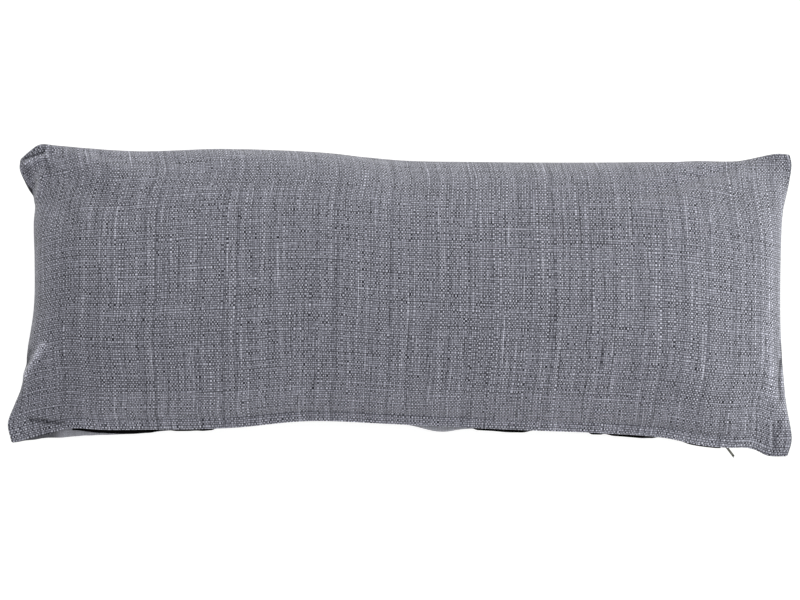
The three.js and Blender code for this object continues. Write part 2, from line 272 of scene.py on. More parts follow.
# %% The skin between the seams, and the filling that lifts it
def seam_sheet(across, along):
    """The flat skin. across goes from the left end to the right, and along from the zipped edge to the far edge."""
    a, b = across[..., None], along[..., None]
    from_long_edges = seam_at("zipped", across) * (1 - b) + seam_at("far", across) * b
    from_short_edges = seam_at("left", along) * (1 - a) + seam_at("right", along) * a
    zipped_corners = seam_at("zipped", 0) * (1 - a) + seam_at("zipped", 1) * a
    far_corners = seam_at("far", 0) * (1 - a) + seam_at("far", 1) * a
    return from_long_edges + from_short_edges - zipped_corners * (1 - b) - far_corners * b


def fullness(across, along, place):
    endward = np.abs(2 * across - 1)
    sideward = np.abs(2 * (np.maximum(along, stitch_line) - stitch_line) / (1 - stitch_line) - 1)
    lengthwise = np.maximum(1 - endward**END_FULLNESS, 0)
    crosswise = np.maximum(1 - sideward**SIDE_FULLNESS, 0)
    nearest = np.min([np.linalg.norm(place[..., :2] - corner, axis=-1) for corner in corners], axis=0)
    limp = 1 - np.exp(-((nearest / EAR_REACH) ** 2))
    power = HEM_POWER + (CROWN_POWER - HEM_POWER) * eased(along, 0, HEM_REACH)
    return limp * lengthwise**CROWN_POWER * crosswise**power


def pressed(height):
    """The table presses flat whatever would sink below it, with a soft turn up round the flat."""
    turn = np.clip(height, -PRESS_BLEND, PRESS_BLEND) + PRESS_BLEND
    return np.maximum(height, PRESS_BLEND) - PRESS_BLEND + turn**2 / (4 * PRESS_BLEND)


def panel(across, along, side):
    """Points of the face (side 1) or of the back (side -1)."""
    place = seam_sheet(across, along)
    full = fullness(across, along, place)
    swell = SIDE_BULGE * np.sin(np.pi * np.minimum(full, 1))
    place[..., 0] += swell * (2 * across - 1) ** END_BULGE_POWER
    place[..., 1] += swell * np.maximum(2 * along - 1, 0) ** FAR_BULGE_POWER
    hem = 1 - eased(along, 0, LIP_FADE * stitch_line)
    if side < 0:
        place[..., 1] -= stands_out(zip_edge_lip, across) * hem
    thickness = SEAM_HALF + (LIP_HALF - SEAM_HALF) * zip_share(across) * hem
    crown = FRONT_CROWN if side > 0 else BACK_CROWN
    place[..., 2] = pressed(place[..., 2] + side * (thickness + crown * full))
    return place


# %% [markdown]
# ## Two panels cut from flat cloth
#
# Cloth hardly stretches, so a thread that runs straight in the bolt also runs straight over the crown at the same
# spacing. That is why the panel's grid is spaced by length along the shaped cloth and not by shares of the seam: each
# grid point keeps its place in the flat cut, and that place becomes the UV map, in metres, that the weave follows.
# Columns crowd toward the ends and four rows are kept for the lap, because that is where the folds are.

# %% Spacing of the grid by length along the cloth
CUT_LENGTH, CUT_WIDTH = 900 * MM, 360 * MM
COLUMNS, LAP_ROWS, BODY_ROWS = 168, 4, 58
END_CROWDING = 0.6
SPACING_ROUNDS = 6
ROWS = LAP_ROWS + BODY_ROWS


def crowded(count):
    """Shares from 0 to 1 that stand closer together toward both ends."""
    step = np.linspace(-1, 1, count + 1)
    return (1 + step + END_CROWDING * (np.sin(np.pi / 2 * step) - step)) / 2


cut_across, body_step = crowded(COLUMNS), crowded(BODY_ROWS)
lap_share = LAP_WIDTH / CUT_WIDTH
cut_along = np.concatenate([lap_share * np.arange(LAP_ROWS) / LAP_ROWS, lap_share + (1 - lap_share) * body_step])


def respaced(values, points, wanted):
    """values, moved along their line of points until they stand at the wanted shares of its length."""
    length = distances(points)
    return np.interp(wanted, length / length[-1], values)


def grid_shares(side):
    across = np.repeat(cut_across[:, None], ROWS + 1, axis=1)
    lap = stitch_line * np.arange(LAP_ROWS) / LAP_ROWS
    along = np.repeat(np.concatenate([lap, stitch_line + (1 - stitch_line) * body_step])[None], COLUMNS + 1, axis=0)
    for _ in range(SPACING_ROUNDS):
        points = panel(across, along, side)
        for i in range(1, COLUMNS):
            along[i, LAP_ROWS:] = respaced(along[i, LAP_ROWS:], points[i, LAP_ROWS:], body_step)
        points = panel(across, along, side)
        for j in range(1, ROWS):
            across[:, j] = respaced(across[:, j], points[:, j], cut_across)
    return across, along


face_shares, back_shares = grid_shares(1), grid_shares(-1)
face_points, back_points = panel(*face_shares, 1), panel(*back_shares, -1)
print("cloth over the crown (mm):", round(distances(face_points[COLUMNS // 2])[-1] / MM))

# %% The edge between the panels: a seam with a fine groove, or the lap, slot and lip of the zip
EDGE_LEVELS = (0.85, 0.6, 0.2, -0.2, -0.6, -0.85)

border = [(i, 0) for i in range(COLUMNS)] + [(COLUMNS, j) for j in range(ROWS)]
border += [(i, ROWS) for i in range(COLUMNS, 0, -1)] + [(0, j) for j in range(ROWS, 0, -1)]
border_i, border_j = np.array(border).T
outward = np.stack([np.sign(border_i / COLUMNS - 0.5) * ((border_i == 0) | (border_i == COLUMNS)),
                    np.sign(border_j / ROWS - 0.5) * ((border_j == 0) | (border_j == ROWS))], axis=-1)
face_edge, back_edge = face_points[border_i, border_j], back_points[border_i, border_j]
edge_open = (zip_share(face_shares[0][border_i, border_j]) * (border_j == 0))[:, None]


def edge_ring(level):
    in_slot = abs(level) < SLOT_LEVEL
    seam = face_edge * (1 + level) / 2 + back_edge * (1 - level) / 2
    seam[:, :2] += outward * (-SEAM_GROOVE if in_slot else SEAM_ROLL * (1 - level**ROLL_POWER))
    rise = max(abs(level) - SLOT_LEVEL, 0) / (1 - SLOT_LEVEL)
    lip = face_edge if level > 0 else back_edge
    wall = seam.copy()
    wall[:, 1] = face_edge[:, 1] + SLOT_DEPTH if in_slot else lip[:, 1]
    half_gap = SLOT_HALF + rise * (LIP_HALF - SLOT_HALF)
    wall[:, 2] = (face_edge[:, 2] + back_edge[:, 2]) / 2 + np.sign(level) * half_gap
    return seam * (1 - edge_open) + wall * edge_open


rings = [edge_ring(level) for level in EDGE_LEVELS]

# %% One closed mesh with its flat-cut UV map
UV_MARGIN, BACK_UV = 0.03, 0.45

face_count = (COLUMNS + 1) * (ROWS + 1)
index = np.arange(face_count).reshape(COLUMNS + 1, ROWS + 1)
rim = index[border_i, border_j]
points = np.vstack([face_points.reshape(-1, 3), back_points.reshape(-1, 3), *rings])
cut = np.stack(np.meshgrid(cut_across * CUT_LENGTH, cut_along * CUT_WIDTH, indexing="ij"), axis=-1) + UV_MARGIN
face_uv, back_uv = cut.reshape(-1, 2), cut.reshape(-1, 2) + (0, BACK_UV)

quads = np.stack([index[:-1, :-1], index[1:, :-1], index[1:, 1:], index[:-1, 1:]], axis=-1).reshape(-1, 4)
between = [2 * face_count + k * len(border) + np.arange(len(border)) for k in range(len(EDGE_LEVELS))]
loops = [rim, *between, face_count + rim]
faces = [quads, face_count + quads[:, ::-1]]
uvs = [face_uv[quads], back_uv[quads[:, ::-1]]]

around = np.array([face_edge, *rings, back_edge])
strides = np.linalg.norm(np.diff(around, axis=0), axis=2)
walked = np.concatenate([np.zeros((1, len(border))), np.cumsum(strides, axis=0)])
border_cut = cut[border_i, border_j]
for k, (upper, lower) in enumerate(zip(loops, loops[1:])):
    faces.append(np.stack([upper, lower, np.roll(lower, -1), np.roll(upper, -1)], axis=-1))
    on_face = k < len(EDGE_LEVELS) / 2
    past_edge = [walked[s] if on_face else walked[-1] - walked[s] for s in (k, k + 1)]
    panel_cut = border_cut + (0, 0 if on_face else BACK_UV)
    first, second = [panel_cut + outward * past[:, None] for past in past_edge]
    uvs.append(np.stack([first, second, np.roll(second, -1, 0), np.roll(first, -1, 0)], axis=1))

shift = np.mean([*map(np.array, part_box("cushion"))], axis=0) - (points.min(0) + points.max(0)) / 2
SHIFT = np.array([shift[0], shift[1], 0])
points += SHIFT
cover_mesh = bpy.data.meshes.new("cover")
cover_mesh.from_pydata(points.tolist(), [], np.vstack(faces).tolist())
cover_mesh.uv_layers.new(name="flat cut").data.foreach_set("uv", np.vstack(uvs).astype(np.float32).ravel())
cover_mesh.polygons.foreach_set("use_smooth", np.ones(len(cover_mesh.polygons), bool))
face_bands = len(EDGE_LEVELS) // 2
band_faces = [len(border) * face_bands, len(border) * (len(EDGE_LEVELS) + 1 - face_bands)]
of_back = np.concatenate([np.zeros(len(quads)), np.ones(len(quads)), np.repeat([0, 1], band_faces)])
cover_mesh.polygons.foreach_set("material_index", of_back.astype(np.int32))
cover = placed("cover", cover_mesh)
print("cover:", len(points), "points,", len(cover_mesh.polygons), "faces")
print("laid over the solid by", (SHIFT / MM).round(2), "mm")

# %% [markdown]
# ## Filling the cover
#
# Until here the shape is a formula, and real cloth never follows one: it is cut flat, so over a round filling it has to
# gather a little beside the seams. Blender's cloth simulation gives that. Pressure inside stands for the filling. The
# sewn edge is pinned because the seams are already where the photograph has them, and the hem with it because its
# stitching holds it flat. The cloth starts from the shape above and not from two flat panels, which would have to be
# sewn, filled and then coaxed into these very seams. Each point may move only a few millimetres, so that the outline
# stays true to the solid.

# %% Settle the cloth over its filling
SETTLING_FRAMES = 24
MOST_MOVE, TINY = 9 * MM, 1e-9
CLOTH_SETTINGS = {
    "quality": 6, "mass": 0.2, "tension_stiffness": 30, "compression_stiffness": 30, "shear_stiffness": 6,
    "bending_stiffness": 1.5, "use_pressure": True, "uniform_pressure_force": 4.0, "vertex_group_mass": "sewn",
}

hem = index[:, :LAP_ROWS + 1].ravel()
sewn = np.unique(np.concatenate([*loops, hem, face_count + hem]))
settled = points.copy()
cover.vertex_groups.new(name="sewn").add(sewn.tolist(), 1.0, "REPLACE")
filling = cover.modifiers.new("filling", "CLOTH")
for name, value in CLOTH_SETTINGS.items():
    setattr(filling.settings, name, value)
filling.settings.effector_weights.gravity = 0
filling.point_cache.frame_start = 1
filling.point_cache.frame_end = SETTLING_FRAMES
for frame_number in range(1, SETTLING_FRAMES + 1):
    bpy.context.scene.frame_set(frame_number)
shaped = cover.evaluated_get(bpy.context.evaluated_depsgraph_get()).to_mesh()
settled = numbers(shaped.vertices, "co", 3).astype(float)
cover.modifiers.remove(filling)
bpy.context.scene.frame_set(1)
move = settled - points
length = np.linalg.norm(move, axis=1, keepdims=True)
print("cloth moved (mm): mean", (length.mean() / MM).round(2), "most", (length.max() / MM).round(2))
settled = points + move * np.minimum(1, MOST_MOVE / np.maximum(length, TINY))
settled[:, 2] = np.maximum(settled[:, 2], 0)
cover_mesh.vertices.foreach_set("co", settled.astype(np.float32).ravel())
cover_mesh.update()

# %% [markdown]
# ## Folds and the pull of the stitching
#
# Pressure smooths every fold away, so the few that the photograph shows come after the simulation. Each is a soft
# trough or ridge along a straight run: the solid's own folds, with the finer creases beside them. A crease is narrower
# than the mesh can follow, so each row also paints shade or light into the cloth's colour along it, and that painted
# shade and light goes into an attribute that the cloth's material reads. The stitching that holds the hem draws the
# cloth down in a shallow furrow too, and between stitches the hem puckers a little. Sculpting could do this by hand,
# but a table can be read and changed.

# %% Folds along straight runs
FOLDS = {  # ends x1, y1, x2, y2, reach and rise in millimetres, share that the back follows, painted shade (below 0) or painted light it holds
    "trough in the turned ear": (-434, 159, -417, 166, 1.6, -2.8, 0.8, -0.3),
    "ridge under that trough": (-435, 153, -411, 162, 2.2, 3, 0.4, 0.8),
    "hollow of the ear": (-431, 144, -427, 126, 6, -2.5, 0.5, -0.06),
    "short crease by the ear": (-412, 145, -404, 147, 2.5, -2.5, 0, -0.3),
    "ridge beside the ear": (-414, 143, -419, 112, 5, 3, 0, 0.12),
    "ridge over the left pucker": (-401, -63, -423, -94, 3.8, 2, 0, 1),
    "left pucker": (-419, -67, -425, -82, 4.2, -1, 0, -0.5),
    "line across the left pucker": (-425, -79, -415, -78, 2, -0.6, 0, -0.35),
    "crease at the left corner": (-419, -144, -380, -147, 2.2, -3.6, 0.4, -0.45),
    "fold in the right side": (433.5, -64, 431.7, -86, 2.4, -1.6, 0, -0.6),
    "lower half of that fold": (431.7, -90, 434, -108, 2.4, -1.6, 0, -0.6),
    "ridge beside that fold": (423, -74, 424, -106, 6, 1, 0, 0.25),
    "ridge at the right corner": (421, -133, 423, -163, 3, 1, 0, 0.08),
    "crease at the right corner": (426, -135, 427, -165, 3, -2.4, 0.4, -0.1),
    "short crease at the right corner": (432, -131, 432, -143, 2.5, -2.2, 0.4, -0.15),
    "shade along the ear's seam": (-441, 147, -435, 131, 2, 0, 0, -0.2),
    "shade below the ear": (-432, 125, -424, 115, 2, 0, 0, -0.35),
    "shade along the left seam": (-427, -52, -424, -82, 2, 0, 0, -0.3),
    "shade along the far seam": (383, 172, 404, 176, 1.5, 0, 0, -0.45),
    "shade at the far right corner": (450, 166, 445, 138, 1.5, 0, 0, -0.3),
    "shade along the right seam": (434, -44, 436.5, -69, 2, 0, 0, -0.55),
}
# Painted shade along the seams and in the stitch furrow, with a floor for it; a painted highlight on the lap's edge and
# painted light on the lip and over the hem
SEAM_PAINTED_SHADE, FURROW_PAINTED_SHADE, DEEPEST_PAINTED_SHADE = -0.4, -0.04, -0.7
LAP_EDGE_PAINTED_HIGHLIGHT, LIP_PAINTED_LIGHT = 0.25, 1.0
FURROW_DEPTH, FURROW_REACH, HEM_PAINTED_LIGHT = 0.7 * MM, 2.4 * MM, 0.12
STITCH_PULL = [  # share of the hem's length, how hard the stitching draws the cloth in there
    (0, 0.5), (0.17, 0.4), (0.2, 0.1), (0.26, 0.1), (0.29, 1), (0.54, 1), (0.58, 0.1), (0.73, 0.1), (0.76, 0.8),
    (0.83, 0.8), (0.87, 0.4), (1, 0.4),
]
PUCKER_DEPTH, PUCKER_REACH = 0.5 * MM, 2 * FURROW_REACH
PUCKERS = (61, 97, 143)  # swells in each metre, overlaid so that they never repeat

# %% Round the settled cloth, and carry along what each of its points has to know
on_back = np.concatenate([np.zeros(face_count), np.ones(face_count),
                          *[np.full(len(border), (1 - level) / 2) for level in EDGE_LEVELS]])
# The seam's rings hold painted shade; where the zip opens, the lip holds painted light and the lap's edge a painted
# highlight
edge_painted_shading = [SEAM_PAINTED_SHADE + edge_open[:, 0] * ((LIP_PAINTED_LIGHT if level < 0 else LAP_EDGE_PAINTED_HIGHLIGHT) - SEAM_PAINTED_SHADE)
               for level in EDGE_LEVELS]
shade = np.concatenate([np.zeros(2 * face_count), *edge_painted_shading])
shade[rim] += LAP_EDGE_PAINTED_HIGHLIGHT * edge_open[:, 0]
shade[face_count + rim] += LIP_PAINTED_LIGHT * edge_open[:, 0]
cut_place = np.vstack([face_uv, back_uv - (0, BACK_UV), *[face_uv[rim]] * len(EDGE_LEVELS)]) - UV_MARGIN
carried = {"on back": on_back, "shade": shade, "cut across": cut_place[:, 0], "cut along": cut_place[:, 1]}
for name, values in carried.items():
    cover_mesh.attributes.new(name, "FLOAT", "POINT").data.foreach_set("value", values.astype(np.float32))

rounding = cover.modifiers.new("rounding", "SUBSURF")
rounding.levels = rounding.render_levels = 1
cover_mesh = bpy.data.meshes.new_from_object(cover.evaluated_get(bpy.context.evaluated_depsgraph_get()))
cover.modifiers.remove(rounding)
cover.data = cover_mesh
rounded = numbers(cover_mesh.vertices, "co", 3).astype(float)
facing = numbers(cover_mesh.vertex_normals, "vector", 3)
carried = {name: numbers(cover_mesh.attributes[name].data, "value") for name in carried}
print("rounded cloth:", len(rounded), "points")

# %% Press in the folds, the furrow of the stitching and its puckers, and paint their shade and light
on_back, shade = carried["on back"], carried["shade"]
spot = (rounded - SHIFT)[:, :2] / MM
rise_out = np.zeros(len(rounded))
# Each row presses in its trough or ridge and paints its shade or highlight into the shade attribute
for x1, y1, x2, y2, reach, rise, shared, painted_shading in FOLDS.values():
    start, run = np.array([x1, y1]), np.array([x2 - x1, y2 - y1])
    share = np.clip((spot - start) @ run / (run @ run), 0, 1)
    near = np.exp(-((np.linalg.norm(spot - start - share[:, None] * run, axis=1) / reach) ** 2))
    rise_out += rise * MM * near * np.where(on_back > 0.5, -shared, 1)
    shade += painted_shading * near * (1 - on_back)

hem_share = carried["cut across"] / CUT_LENGTH
open_share = zip_share(hem_share) * ((on_back == 0) | (on_back == 1))
from_stitches = carried["cut along"] - LAP_WIDTH
pulled, pull = np.array(STITCH_PULL).T
furrow = open_share * np.interp(hem_share, pulled, pull) * np.exp(-((from_stitches / FURROW_REACH) ** 2))
waves = sum(np.sin(2 * np.pi * n * carried["cut across"] + n) for n in PUCKERS) / len(PUCKERS)
pucker = waves * open_share * np.exp(-((from_stitches / PUCKER_REACH) ** 2))
rise_out -= FURROW_DEPTH * furrow + PUCKER_DEPTH * pucker
# Painted shade in the stitch furrow and painted light over the hem, and no painted shade darker than its floor
shade += FURROW_PAINTED_SHADE * furrow + HEM_PAINTED_LIGHT * open_share * eased(-from_stitches, 0, FURROW_REACH)
shade = np.maximum(shade, DEEPEST_PAINTED_SHADE).astype(np.float32)
folded = rounded + facing * rise_out[:, None]
folded[:, 2] = np.maximum(folded[:, 2], 0)
cover_mesh.attributes["shade"].data.foreach_set("value", shade)
cover_mesh.vertices.foreach_set("co", folded.astype(np.float32).ravel())
cover_mesh.update()
print(len(FOLDS), "folds; the deepest is", min(rise for *_, rise, _, _ in FOLDS.values()), "mm")

# %% [markdown]
# ## The slub weave
#
# The cloth is a plain weave: each yarn goes over one yarn of the other direction and under the next. Slub yarn is spun
# unevenly, so each yarn swells and thins along its length, pushes its neighbours aside and takes the dye unevenly too.
# Neighbours come off different bobbins, so a dark yarn mostly lies beside a lighter one and the cloth looks even from
# afar. Both directions follow the same rule, so one function makes a set of yarns and is called twice. The whole weave
# is a node group, because the plainer back and the zip's tape are woven as well and use it again with a finer pitch. An
# image of cloth would be quicker to make, but it would repeat, and it couldn't be resized yarn by yarn.

# %% Helpers for nodes
def new_node(tree, kind, fed, settings):
    """Adds a node with its settings, and links or sets the inputs that are fed: pairs of an input and a value."""
    node = tree.nodes.new(kind)
    for name, value in settings.items():
        setattr(node, name, value)
    for place, value in fed:
        if isinstance(value, bpy.types.NodeSocket):
            tree.links.new(value, node.inputs[place])
        elif value is not None:
            node.inputs[place].default_value = value
    return node


def wire(tree, kind, *values, out=0, **settings):
    """A shader node whose inputs are fed in order. Gives back one of its outputs."""
    return new_node(tree, "ShaderNode" + kind, enumerate(values), settings).outputs[out]


def maths(operation, *values):
    """A Math node, in the tree that its values come from."""
    tree = next(value.id_data for value in values if isinstance(value, bpy.types.NodeSocket))
    return wire(tree, "Math", *values, operation=operation)


def plus(total, *others):
    for other in others:
        total = maths("ADD", total, other)
    return total


def minus(total, *others):
    for other in others:
        total = maths("SUBTRACT", total, other)
    return total


def times(first, second):
    return maths("MULTIPLY", first, second)


def noise(x, y):
    """Soft noise about 0, from about -0.5 to 0.5, with one swell for each unit of x and y."""
    place = wire(x.id_data, "CombineXYZ", x, y, 0.0)
    scale, detail = 1.0, 1.0
    return minus(wire(x.id_data, "TexNoise", place, None, scale, detail, noise_dimensions="2D"), 0.5)


def chance(dimensions, place):
    """A chance number from 0 to 1 for each yarn (1D) or each crossing (2D)."""
    inputs = {"1D": (None, place), "2D": (place,)}[dimensions]
    return wire(place.id_data, "TexWhiteNoise", *inputs, noise_dimensions=dimensions)


# %% The weave as a node group
YARN_WAVE, YARN_ROUND = 0.47, 0.6
SLUB_SWELL, THICK_FROM, THICK_SWELL = 1.4, 0.1, 3.5
FLOAT_PAINTED_LIGHT = 0.2  # painted light: how much lighter the warp's floats show than the weft's, as their fibres face the light differently
CROSSING_TONE = 0.27  # tone from one crossing to the next
# Slubs in each metre of yarn, tone from yarn to yarn, tone along a yarn, light of a thick slub, painted shade between
# two yarns, and how far a yarn is pushed aside, in yarns
YARNS = {
    "warp": (12.0, 0.48, 0.08, 0.0, 0.73, 1.7),
    "weft": (30.0, 0.14, 0.08, 1.2, 0.96, 1.0),
}
PUSH_YARNS, PUSH_RUN = 2.2, 9.0  # yarns that are pushed together, and changes of push in each metre of them
WANDER, WANDER_SCALE = 0.5, 52.0
EVENING = {"1D": 0.45, "2D": 0.7}  # how far a yarn's tone, or a crossing's, is made up for by the next one's
LOT_STEP, LOT_START = 7.31, 50  # keep the noises of two yarns, and of warp and weft, apart


def own_tone(dimensions, here, beside):
    """A chance tone about 0 that is light where its neighbour is dark."""
    evening = EVENING[dimensions]
    against = times(chance(dimensions, beside), evening)
    return minus(chance(dimensions, here), against, (1 - evening) / 2)


def yarn_set(kind, crossing, running, place):
    """Number, furrow relief with painted shade, height and tone of the yarns that lie side by side along crossing and
    run along running.
    """
    slubs, yarn_tone, slub_tone, thick_light, furrow_shade, _ = YARNS[kind]
    way = 1 if kind == "warp" else -1
    number = maths("FLOOR", crossing)
    beat = times(plus(minus(running, 0.5), number), math.pi)
    wave = times(maths("COSINE", beat), way * YARN_WAVE)
    from_middle = times(minus(crossing, number, 0.5), 2.0)
    furrow = times(from_middle, from_middle)
    lot = plus(times(number, LOT_STEP), way * LOT_START)
    slub = noise(lot, times(place, slubs))
    thick = maths("MAXIMUM", minus(slub, THICK_FROM), 0.0)
    swollen = plus(times(slub, SLUB_SWELL), times(thick, THICK_SWELL))
    height = plus(minus(wave, times(furrow, YARN_ROUND)), swollen)
    own = own_tone("1D", lot, plus(lot, LOT_STEP))
    tone = plus(times(own, yarn_tone), times(slub, slub_tone), times(thick, thick_light), way * FLOAT_PAINTED_LIGHT)
    relief_and_painted_shade = minus(1.0, times(furrow, furrow_shade))
    return number, relief_and_painted_shade, height, tone


def yarn_count(kind, across, along, pitch, wander):
    """How many yarns of a set lie before this place, counting in how they wander and push each other aside."""
    even = maths("DIVIDE", across, pitch)
    push = noise(maths("DIVIDE", even, PUSH_YARNS), times(along, PUSH_RUN))
    return plus(even, plus(times(push, YARNS[kind][-1]), times(wander, WANDER)))


def weave_group():
    tree = bpy.data.node_groups.new("slub weave", "ShaderNodeTree")
    add_sockets(tree, "INPUT", "Vector", "Cloth")
    add_sockets(tree, "INPUT", "Float", "Warp pitch", "Weft pitch")
    add_sockets(tree, "OUTPUT", "Float", "Tone", "Relief and painted shade")
    given = tree.nodes.new("NodeGroupInput").outputs
    parts = tree.nodes.new("ShaderNodeSeparateXYZ")
    tree.links.new(given["Cloth"], parts.inputs[0])
    x, y = parts.outputs[0], parts.outputs[1]
    wander_x, wander_y = times(x, WANDER_SCALE), times(y, WANDER_SCALE)
    warp_count = yarn_count("warp", x, y, given["Warp pitch"], noise(wander_x, wander_y))
    weft_count = yarn_count("weft", y, x, given["Weft pitch"], noise(wander_y, wander_x))
    warp_number, warp_painted_shade, warp_height, warp_tone = yarn_set("warp", warp_count, weft_count, y)
    weft_number, weft_painted_shade, weft_height, weft_tone = yarn_set("weft", weft_count, warp_count, x)
    warp_shows = maths("GREATER_THAN", warp_height, weft_height)
    shown_tone = wire(tree, "Mix", warp_shows, None, weft_tone, warp_tone, data_type="FLOAT")
    here = wire(tree, "CombineXYZ", warp_number, weft_number, 0.0)
    beside = wire(tree, "CombineXYZ", plus(warp_number, 1.0), weft_number, 0.0)
    result = tree.nodes.new("NodeGroupOutput").inputs
    tree.links.new(plus(shown_tone, times(own_tone("2D", here, beside), CROSSING_TONE)), result["Tone"])
    tree.links.new(times(warp_painted_shade, weft_painted_shade), result["Relief and painted shade"])
    return tree


weave = weave_group()
print("weave group:", len(weave.nodes), "nodes")

# %% Woven cloths
BUMP_DEPTH = 0.5 * MM
MIDDLE_TONE = 0.5
CLOTH_ROUGHNESS, NAP_ROUGHNESS = 0.95, 0.5
CLOTHS = {  # pitch of warp and weft, sheen, and the tones of the yarns: place on the ramp, colour
    "grey slub cloth": (1.75 * MM, 2.41 * MM, 0.3, (
        (0.075, (0.0145, 0.0145, 0.0276)), (MIDDLE_TONE, (0.403, 0.402, 0.494)), (1, (0.712, 0.709, 0.847)))),
    "plain grey cloth": (0.9 * MM, 0.9 * MM, 0.2, (
        (0, (0.2, 0.2, 0.235)), (MIDDLE_TONE, (0.35, 0.35, 0.408)), (1, (0.5, 0.5, 0.58)))),
    "black woven tape": (0.5 * MM, 0.4 * MM, 0.02, (
        (0, (0.001, 0.001, 0.001)), (MIDDLE_TONE, (0.0035, 0.0035, 0.004)), (1, (0.006, 0.006, 0.007)))),
}


def woven_material(name):
    """Cloth in tones from its darkest to its lightest yarn, with painted shade in the furrows between the yarns and the
    cover's painted shade and light.
    """
    warp_pitch, weft_pitch, sheen, tones = CLOTHS[name]
    material, tree, shader = fresh_material(name)
    cut_map = wire(tree, "UVMap", uv_map="flat cut")
    woven = tree.nodes.new("ShaderNodeGroup")
    woven.node_tree = weave
    tree.links.new(cut_map, woven.inputs["Cloth"])
    woven.inputs["Warp pitch"].default_value = warp_pitch
    woven.inputs["Weft pitch"].default_value = weft_pitch
    ramp = tree.nodes.new("ShaderNodeValToRGB")
    ramp.color_ramp.elements.new(MIDDLE_TONE)
    for element, (position, colour) in zip(ramp.color_ramp.elements, tones):
        element.position, element.color = position, (*colour, 1)
    tree.links.new(plus(woven.outputs["Tone"], MIDDLE_TONE), ramp.inputs[0])
    # The cover's painted shade and light darken or lighten the cloth's colour and its sheen
    held = plus(wire(tree, "Attribute", attribute_name="shade", out="Fac"), 1.0)
    light = times(woven.outputs["Relief and painted shade"], held)
    colour = wire(tree, "VectorMath", ramp.outputs[0], light, operation="MULTIPLY")
    tree.links.new(colour, shader.inputs["Base Color"])
    bump = wire(tree, "Bump", 1.0, BUMP_DEPTH, None, woven.outputs["Relief and painted shade"])
    tree.links.new(bump, shader.inputs["Normal"])
    shader.inputs["Roughness"].default_value = CLOTH_ROUGHNESS
    sheen_with_painted_shade = times(held, sheen)
    tree.links.new(sheen_with_painted_shade, shader.inputs["Specular IOR Level"])
    tree.links.new(sheen_with_painted_shade, shader.inputs["Sheen Weight"])
    shader.inputs["Sheen Roughness"].default_value = NAP_ROUGHNESS
    return material


for name in ("grey slub cloth", "plain grey cloth"):
    cover_mesh.materials.append(woven_material(name))
print("cloths of the cover:", [material.name for material in cover_mesh.materials])

# %% [markdown]
# ## Stitches and zip teeth
#
# Sewing thread shows as a row of short, fat dashes sunk into the cloth, and a nylon zip as a row of close ridges. Both
# are one small shape repeated along a path, which is what Geometry Nodes are for: the path is resampled at an even
# spacing and a rounded bead is set at each point, turned to the path. One tree serves both, with its sizes as inputs.
# An array modifier on a curve would bend each bead, and placing them one by one would be slow.

# %% The tree that sets beads along a path
BEAD_SEGMENTS, BEAD_RINGS = 8, 6


def bead_row_tree():
    tree = bpy.data.node_groups.new("bead row", "GeometryNodeTree")
    add_sockets(tree, "INPUT", "Geometry", "Path")
    add_sockets(tree, "INPUT", "Float", "Spacing", "Length", "Width", "Height")
    add_sockets(tree, "INPUT", "Material", "Finish")
    add_sockets(tree, "OUTPUT", "Geometry", "Beads")
    given = tree.nodes.new("NodeGroupInput").outputs

    def step(kind, fed, **settings):
        return new_node(tree, kind, fed.items(), settings).outputs[0]

    curve = step("GeometryNodeMeshToCurve", {"Mesh": given["Path"]})
    spaced = step("GeometryNodeResampleCurve", {"Curve": curve, "Length": given["Spacing"]}, mode="LENGTH")
    ball = step("GeometryNodeMeshUVSphere", {"Segments": BEAD_SEGMENTS, "Rings": BEAD_RINGS, "Radius": 1 / 2})
    size = wire(tree, "CombineXYZ", given["Length"], given["Width"], given["Height"])
    bead = step("GeometryNodeTransform", {"Geometry": ball, "Scale": size})
    heading = step("GeometryNodeInputTangent", {})
    turn = step("FunctionNodeAlignRotationToVector", {"Vector": heading}, axis="X")
    row = step("GeometryNodeInstanceOnPoints", {"Points": spaced, "Instance": bead, "Rotation": turn})
    whole = step("GeometryNodeRealizeInstances", {"Geometry": row})
    smooth = step("GeometryNodeSetShadeSmooth", {"Geometry": whole})
    finished = step("GeometryNodeSetMaterial", {"Geometry": smooth, "Material": given["Finish"]})
    tree.links.new(finished, tree.nodes.new("NodeGroupOutput").inputs["Beads"])
    return tree


bead_rows = bead_row_tree()


def bead_row(name, path_points, **values):
    """Beads along a path, made into a plain mesh."""
    path_mesh = bpy.data.meshes.new(name + " path")
    path_mesh.from_pydata(path_points.tolist(), [(k, k + 1) for k in range(len(path_points) - 1)], [])
    path = placed(name + " path", path_mesh)
    rows = path.modifiers.new("beads", "NODES")
    rows.node_group = bead_rows
    for socket in bead_rows.interface.items_tree:
        if socket.name in values:
            rows[socket.identifier] = values[socket.name]
    made = bpy.data.meshes.new_from_object(path.evaluated_get(bpy.context.evaluated_depsgraph_get()))
    made.name = name
    bpy.data.objects.remove(path)
    print(name, "has", len(made.polygons), "faces")
    return placed(name, made)


# %% Thread, nylon and metal
GRAIN_LOW, GRAIN_HIGH, GRAIN_DETAIL = 0.3, 0.7, 3.0
FINISHES = {  # dark and light colour, least and most roughness, grains in each metre, metallic, bump
    # Partly painted shade: the thread is kept dark so that it also shows the shade in its stitch holes
    "thread kept dark as painted shade": ((0.02, 0.02, 0.025), (0.07, 0.07, 0.085), (0.7, 0.9), 900.0, 0.0, 0.1 * MM),
    "black nylon": ((0.001, 0.001, 0.001), (0.005, 0.005, 0.006), (0.5, 0.7), 400.0, 0.0, 0.0),
    "dark lacquered metal": ((0.075, 0.076, 0.066), (0.15, 0.15, 0.135), (0.34, 0.55), 350.0, 0.7, 0.0),
}


